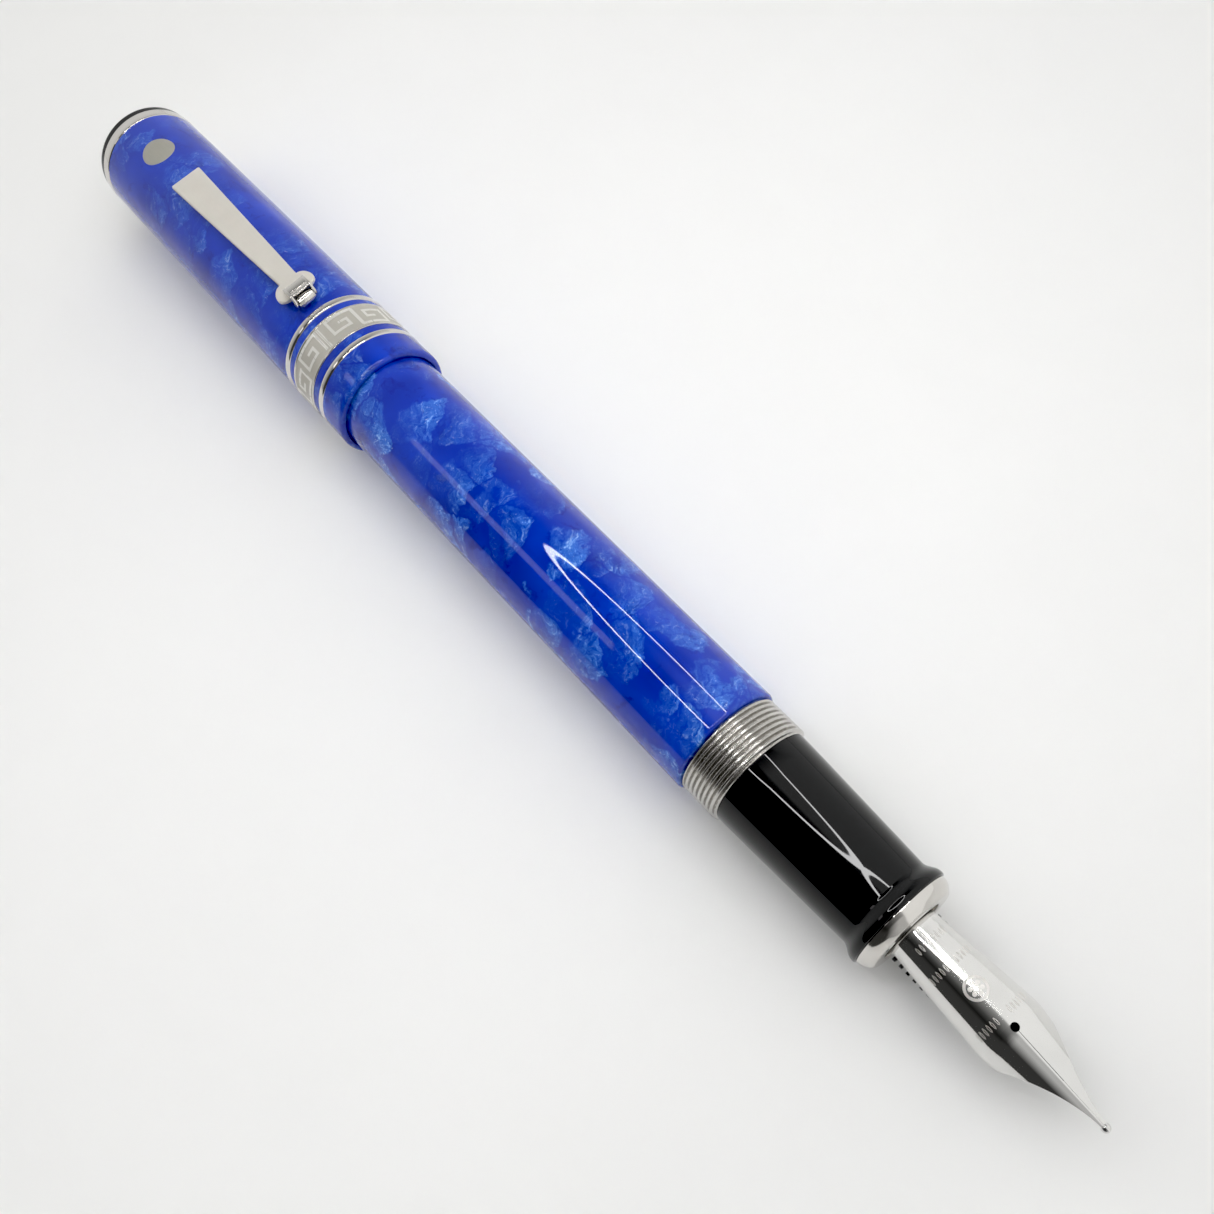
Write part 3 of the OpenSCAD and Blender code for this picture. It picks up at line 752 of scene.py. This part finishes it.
def make_nib():
    """Two halves that meet along the top as far forward as the breather hole, and part there into tines."""
    across = 28
    bevel = 0.06 * MM
    for name, side in (("left", -1), ("right", 1)):
        rows = []
        for x in nib_stations():
            first = math.asin(nib_opening(x) / nib_radius(x))
            angles = [side * lerp(first, nib_edge(x), k / across) for k in range(across + 1)]
            inner = -lerp(nib_t, tip_t, smooth_step((x - shoulder_x) / (tip_x - shoulder_x)))
            row = [on_nib(x, a) for a in angles[:-1]]
            row.append(on_nib(x, angles[-1] - side * bevel / nib_radius(x)))
            row.append(on_nib(x, angles[-1], -bevel))
            row += [on_nib(x, a, inner) for a in reversed(angles)]
            rows.append(row)
        half = grid("nib_" + name, rows, NIB, "section", ["nib"], 40)
        close_ends(half, rows)


# ---------------------------------------------------------------- ornament on the nib
LEAF = ((-0.42, 0.0), (-0.1, 0.1), (0.3, 0.07), (0.42, 0.0), (0.3, -0.07), (-0.1, -0.1), (-0.42, 0.0))


def rosette(x):
    """Paths and line widths of two rings and six petals."""
    ring_r, hub_r, reach, petal_r = 1.15 * MM, 0.34 * MM, 0.62 * MM, 0.13 * MM
    paths = [(circle(x, 0, ring_r), 0.3 * MM), (circle(x, 0, hub_r), 0.14 * MM)]
    for k in range(6):
        a = math.pi * k / 3
        paths.append((circle(x + reach * math.cos(a), reach * math.sin(a), petal_r, 14), 0.22 * MM))
    return paths


def leaf_row(x, first, last, count, sides):
    """Paths and line widths of leaves spaced from first to last millimetres off the middle."""
    paths = []
    for k in range(count):
        v = lerp(first, last, k / (count - 1)) * MM
        for side in sides:
            leaf = [(x + along * MM, side * (v + out * MM)) for along, out in LEAF]
            paths.append((leaf, 0.08 * MM))
    return paths


def make_nib_marks():
    """Matt ornament on the nib: a rosette behind the breather hole, and rows of leaves around it."""
    proud, sunk = 0.016 * MM, 0.004 * MM

    def on_surface(point, height):
        return on_nib(point[0], point[1] / nib_radius(point[0]), height - sunk)

    paths = rosette(breather_x - 4.85 * MM)
    paths += leaf_row(breather_x - 1.5 * MM, 0.9, 3.5, 6, (-1, 1))
    paths += leaf_row(breather_x - 8.1 * MM, 0.7, 2.8, 5, (-1, 1))
    paths += leaf_row(breather_x - 11 * MM, -1.5, 2.2, 8, (1,))
    verts, faces = joined([ribbon(path, width, proud, on_surface) for path, width in paths])
    piece("nib_ornament", verts, faces, MARKS, "section", ["nib"])


# ---------------------------------------------------------------- clip
root_x = clip_low[0]
neck_x = root_x + 27.4 * MM
wing_x = neck_x + 2.15 * MM
cage_back_x = neck_x + 2.2 * MM
clip_front_x = clip_high[0]
cage_z = clip_high[2]
neck_z = cage_z - 0.95 * MM
root_z = cage_z - 1.6 * MM
clip_t = 0.55 * MM
root_half_w, neck_half_w = 2.45 * MM, 1.42 * MM
wing_r, wing_y = 1.5 * MM, 1.45 * MM
wing_droop = 0.16
roller_x, roller_z = (roller_low[0] + roller_high[0]) / 2, (roller_low[2] + roller_high[2]) / 2


def along_blade(x):
    """0 at the blade's root, and 1 at its neck and beyond."""
    return min((x - root_x) / (neck_x - root_x), 1)


def clip_half_width(x):
    """Half the width of the blade, or of the round wings where they reach further out."""
    blade = lerp(root_half_w, neck_half_w, along_blade(x))
    reach = wing_r ** 2 - (x - wing_x) ** 2
    wing = wing_y + math.sqrt(reach) if reach > 0 else 0
    return max(blade, wing)


def clip_stations():
    """Places of the blade's cross-sections: closest together at its root and over the wings."""
    end_x = wing_x + 1.42 * MM
    stations = [root_x + e * MM for e in (0, 0.04, 0.15)]
    stations += [lerp(root_x + 0.3 * MM, neck_x + 0.5 * MM, k / 40) for k in range(41)]
    return stations + [lerp(neck_x + 0.55 * MM, end_x, k / 50) for k in range(1, 51)]


def clip_section(x):
    """Half a cross-section as (y, z), from the middle of its top to the middle of its underside."""
    edge, under, soft_end = 0.16 * MM, 0.08 * MM, 0.12 * MM
    w = clip_half_width(x) - (soft_end - min(x - root_x, soft_end)) * 0.7
    top = lerp(root_z, neck_z, along_blade(x))
    half = [(w * share, top) for share in (0, 0.35, 0.65)]
    half += [(w - edge * (1 - math.sin(a)), top - edge * (1 - math.cos(a))) for a in
             (math.pi / 2 * k / 5 for k in range(6))]
    return half + [(w, top - clip_t + under), (w - under, top - clip_t), (0, top - clip_t)]


def make_clip_blade():
    """Blade and wings as cross-sections along the pen: flat on top, with rounded edges and drooping wings."""
    rows = []
    for x in clip_stations():
        droop = []
        for y, z in clip_section(x):
            beyond = max(y - wing_r, 0) if x > neck_x + 0.2 * MM else 0
            droop.append((y, z - wing_droop * beyond ** 2 / MM))
        row = [Vector((x, y, z)) for y, z in droop]
        row += [Vector((x, -y, z)) for y, z in reversed(droop[1:-1])]
        rows.append(row)
    made = grid("clip_blade_satin", rows, SATIN, "clip", ["clip_blade"], 50)
    close_ends(made, rows)


cage_inside = 1.3 * MM
cage_top_x = cage_back_x + 2.25 * MM


def make_clip_cheeks():
    """The two cheeks that carry the roller's pin."""
    cheek_t = 0.4 * MM
    front_x = clip_front_x - 0.1 * MM
    low_z = roller_z - 0.62 * MM
    outline = [
        (cage_back_x, neck_z - 0.3 * MM), (cage_back_x, cage_z - 0.3 * MM), (cage_back_x + 0.3 * MM, cage_z),
        (cage_top_x - 0.1 * MM, cage_z), (front_x, roller_z + 0.45 * MM), (front_x, roller_z - 0.3 * MM),
        (roller_x + 0.2 * MM, low_z), (roller_x - 0.6 * MM, low_z), (cage_back_x + 0.3 * MM, neck_z - clip_t),
    ]
    for name, side in (("left", -1), ("right", 1)):
        y = sorted((side * cage_inside, side * (cage_inside + cheek_t)))
        slab("clip_cheek_" + name, outline, *y, 0.09 * MM, POLISHED, "clip", ["clip_blade"], "satin_metal")


def make_clip_bridge():
    """The polished bridge between the tops of the cheeks, with a narrow cut across it."""
    cut_x, cut = cage_top_x - 0.62 * MM, 0.07 * MM
    top_z, under_z, foot_z = cage_z - 0.02 * MM, cage_z - 0.36 * MM, neck_z - 0.2 * MM
    reach = cage_inside + 0.05 * MM
    outline = [
        (cage_back_x + 0.05 * MM, foot_z), (cage_back_x + 0.05 * MM, under_z),
        (cage_back_x + 0.4 * MM, top_z), (cut_x - cut, top_z), (cut_x, cage_z - 0.16 * MM),
        (cut_x + cut, top_z), (cage_top_x - 0.06 * MM, top_z), (cage_top_x, cage_z - 0.1 * MM),
        (cage_top_x - 0.05 * MM, under_z), (cage_back_x + 0.5 * MM, cage_z - 0.4 * MM),
        (cage_back_x + 0.4 * MM, foot_z),
    ]
    slab("clip_bridge", outline, -reach, reach, 0.02 * MM, POLISHED, "clip", ["clip_blade"], "satin_metal")


make_barrel()
make_sleeve()
make_cap_shell()
make_rings()
make_finial()
make_seal_disc()
make_grip()
make_trim_ring()
make_nib()
make_nib_marks()
make_key()
make_clip_blade()
make_clip_cheeks()
make_clip_bridge()

# The CAD nodes that are shown as they are.
FINISHES = {
    "section_seal_ring": RUBBER,
    "section_nipple": POLISHED,
    "nib_housing": MATT_BLACK,
    "feed": MATT_BLACK,
    "nib_tipping": NIB,
    "converter_tube": CLEAR,
    "converter_collar": POLISHED,
    "converter_knob": MATT_BLACK,
    "converter_screw": SATIN,
    "piston_rod": WHITE,
    "piston_seal": RUBBER,
    "inner_cap": MATT_BLACK,
    "clip_anchor": SATIN,
    "clip_roller_pin": SATIN,
    "clip_roller": POLISHED,
}
for node, material in FINISHES.items():
    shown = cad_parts[node]
    shown.data.materials.clear()
    shown.data.materials.append(material)


# ---------------------------------------------------------------- floor, lamps and room
WALL_LIGHT = 0.97
RING_LIGHT = 17.0
# Name, place, size and power of the lamps that light the floor and the pen but show in no reflection.
SOFT_LAMPS = (
    ("above", (-0.15, 0.05, 1.3), (2.4, 2.4), 5.0),
    ("side", (-0.5, 1.2, 0.9), (1.6, 1.0), 1.5),
    ("behind", (-1.1, -0.5, 0.8), (1.2, 0.8), 4.0),
    ("fill", (-0.4, -1.3, 0.6), (1.2, 0.8), 1.2),
)


def make_floor():
    """A sheet of pale paper, just under the cap's band and the flare of the section, that the pen lies on."""
    low_x, low_r = (band[0] + band[1]) / 2, band_r
    high_x, high_r = flare_x - 0.4 * MM, flare_r
    slope = math.atan2(low_r - high_r, high_x - low_x)
    bpy.ops.mesh.primitive_plane_add(size=6)
    floor = bpy.context.object
    floor.name = "floor"
    floor.rotation_euler = (0, -slope, 0)
    floor.location = (low_x, 0, -low_r - 0.02 * MM)
    floor.data.materials.append(floor_paper())


def area_light(name, place, size, power, colour=(1, 1, 1)):
    """A rectangular lamp that faces the pen."""
    data = bpy.data.lights.new(name, "AREA")
    data.shape = "RECTANGLE"
    data.size, data.size_y = size
    data.energy = power
    data.color = colour
    made = bpy.data.objects.new(name, data)
    bpy.context.scene.collection.objects.link(made)
    made.location = place
    made.rotation_euler = (-Vector(place)).to_track_quat("-Z", "Y").to_euler()
    return made


def strip_light():
    """A lamp with its long edge along the pen: its reflection is the pale band on the barrel and the cap."""
    y, z = -0.31, 0.45
    strip = area_light("light_strip", (-0.31, y, z), (0.28, 0.11), 0.14, (1, 0.96, 0.98))
    strip.rotation_euler = (math.atan2(-y, z), 0, 0)


def ring_light(centre, radius, width):
    """A ring lamp beside the camera: its reflection is the long thin outline on barrel and section."""
    bpy.ops.mesh.primitive_torus_add(
        location=centre, major_radius=radius, minor_radius=width / 2, major_segments=96, minor_segments=12
    )
    ring = bpy.context.object
    ring.name = "ring_light"
    s = Shader("ring_light")
    s.set(Base_Color=(0, 0, 0, 1), Emission_Color=(1, 1, 1, 1), Emission_Strength=RING_LIGHT)
    ring.data.materials.append(s.material)


def make_light():
    """All the lamps."""
    for name, place, size, power in SOFT_LAMPS:
        area_light("light_" + name, place, size, power).visible_glossy = False
    strip_light()
    ring_light((-0.0085, 0.017, 0.134), 0.0520, 0.0045)


TO_NIB, TO_WALL, UP = (1, 0, 0), (0, 1, 0), (0, 0, 1)


class Room:
    """A world whose brightness depends on direction, built by short calls."""

    def __init__(self):
        self.world = bpy.data.worlds.new("room")
        self.world.use_nodes = True
        self.tree = self.world.node_tree
        self.direction = self.tree.nodes.new("ShaderNodeTexCoord").outputs["Generated"]

    def maths(self, operation, *values):
        made = self.tree.nodes.new("ShaderNodeMath")
        made.operation = operation
        for socket, value in zip(made.inputs, values):
            if isinstance(value, float):
                socket.default_value = value
            else:
                self.tree.links.new(value, socket)
        return made.outputs[0]

    def towards(self, axis, *stops):
        """A brightness that depends on how far a direction faces along an axis, from -1 to 1."""
        facing = self.tree.nodes.new("ShaderNodeVectorMath")
        facing.operation = "DOT_PRODUCT"
        self.tree.links.new(self.direction, facing.inputs[0])
        facing.inputs[1].default_value = axis
        made = self.tree.nodes.new("ShaderNodeValToRGB")
        self.tree.links.new(self.maths("MULTIPLY_ADD", facing.outputs["Value"], 0.5, 0.5), made.inputs[0])
        fill_ramp(made, [((position + 1) / 2, grey) for position, grey in stops])
        return made.outputs[0]

    def show(self, brightness, colour):
        background = self.tree.nodes["Background"]
        background.inputs[0].default_value = (*colour, 1)
        self.tree.links.new(brightness, background.inputs[1])
        bpy.context.scene.world = self.world


def make_room():
    """The room as the pen reflects it: a white wall on the +Y side, a bright far end behind the cap, a
    white ceiling over the nib's half of the table, a pale near end beyond the nib, and dark where the
    camera and the person behind it stand."""
    room = Room()
    wall_side = room.towards((0.17, 0.985, 0), (-0.1, 0.06), (0.5, 0.45), (0.86, 1.0))
    wall_height = room.towards(UP, (0.0, 1.0), (0.6, 0.9), (0.8, 0.2), (1.0, 0.08))
    wall = room.maths("MULTIPLY", wall_side, wall_height)
    far_end = room.towards(TO_NIB, (-0.78, 0.8), (-0.60, 0.35), (-0.50, 0.0))
    ceiling_along = room.towards(TO_NIB, (-0.32, 0.0), (-0.2, 1.0))
    ceiling_across = room.towards(
        TO_WALL, (-0.75, 0.0), (-0.45, 0.08), (-0.12, 0.26), (0.0, 0.38), (0.07, 1.0)
    )
    ceiling = room.maths("MULTIPLY", ceiling_along, ceiling_across)
    near_along = room.towards(TO_NIB, (0.2, 0.0), (0.55, 0.55))
    near_across = room.towards(TO_WALL, (-0.6, 0.1), (-0.2, 1.0))
    near_end = room.maths("MULTIPLY", near_along, near_across)
    sides = room.maths("MAXIMUM", wall, far_end)
    rest = room.maths("MAXIMUM", ceiling, near_end)
    brightest = room.maths("MAXIMUM", sides, rest)
    room.show(room.maths("MULTIPLY", brightest, WALL_LIGHT), (1.0, 1.0, 0.985))


# ---------------------------------------------------------------- camera
def make_camera():
    """The photo's viewpoint, solved from its perspective: above the nib's end, looking back along the pen."""
    data = bpy.data.cameras.new("camera")
    data.sensor_width = 36
    data.lens = 37.07
    data.clip_start, data.clip_end = 0.005, 20
    camera = bpy.data.objects.new("camera", data)
    bpy.context.scene.collection.objects.link(camera)
    place = Vector((0.07245, -0.02177, 0.13420))
    forward = Vector((-0.4146, 0.1533, -0.8970)).normalized()
    up = Vector((-0.6471, 0.6434, 0.4091))
    right = forward.cross(up).normalized()
    up = right.cross(forward)
    turn = Matrix((right, up, -forward)).transposed()
    camera.matrix_world = Matrix.Translation(place) @ turn.to_4x4()
    bpy.context.scene.camera = camera


def set_tones():
    """Plain colours, with a slightly deeper black as the photo has it."""
    view = bpy.context.scene.view_settings
    view.view_transform = "Standard"
    view.use_curve_mapping = True
    view.curve_mapping.black_level = (0.013, 0.013, 0.013)


make_floor()
make_light()
make_room()
make_camera()
set_tones()
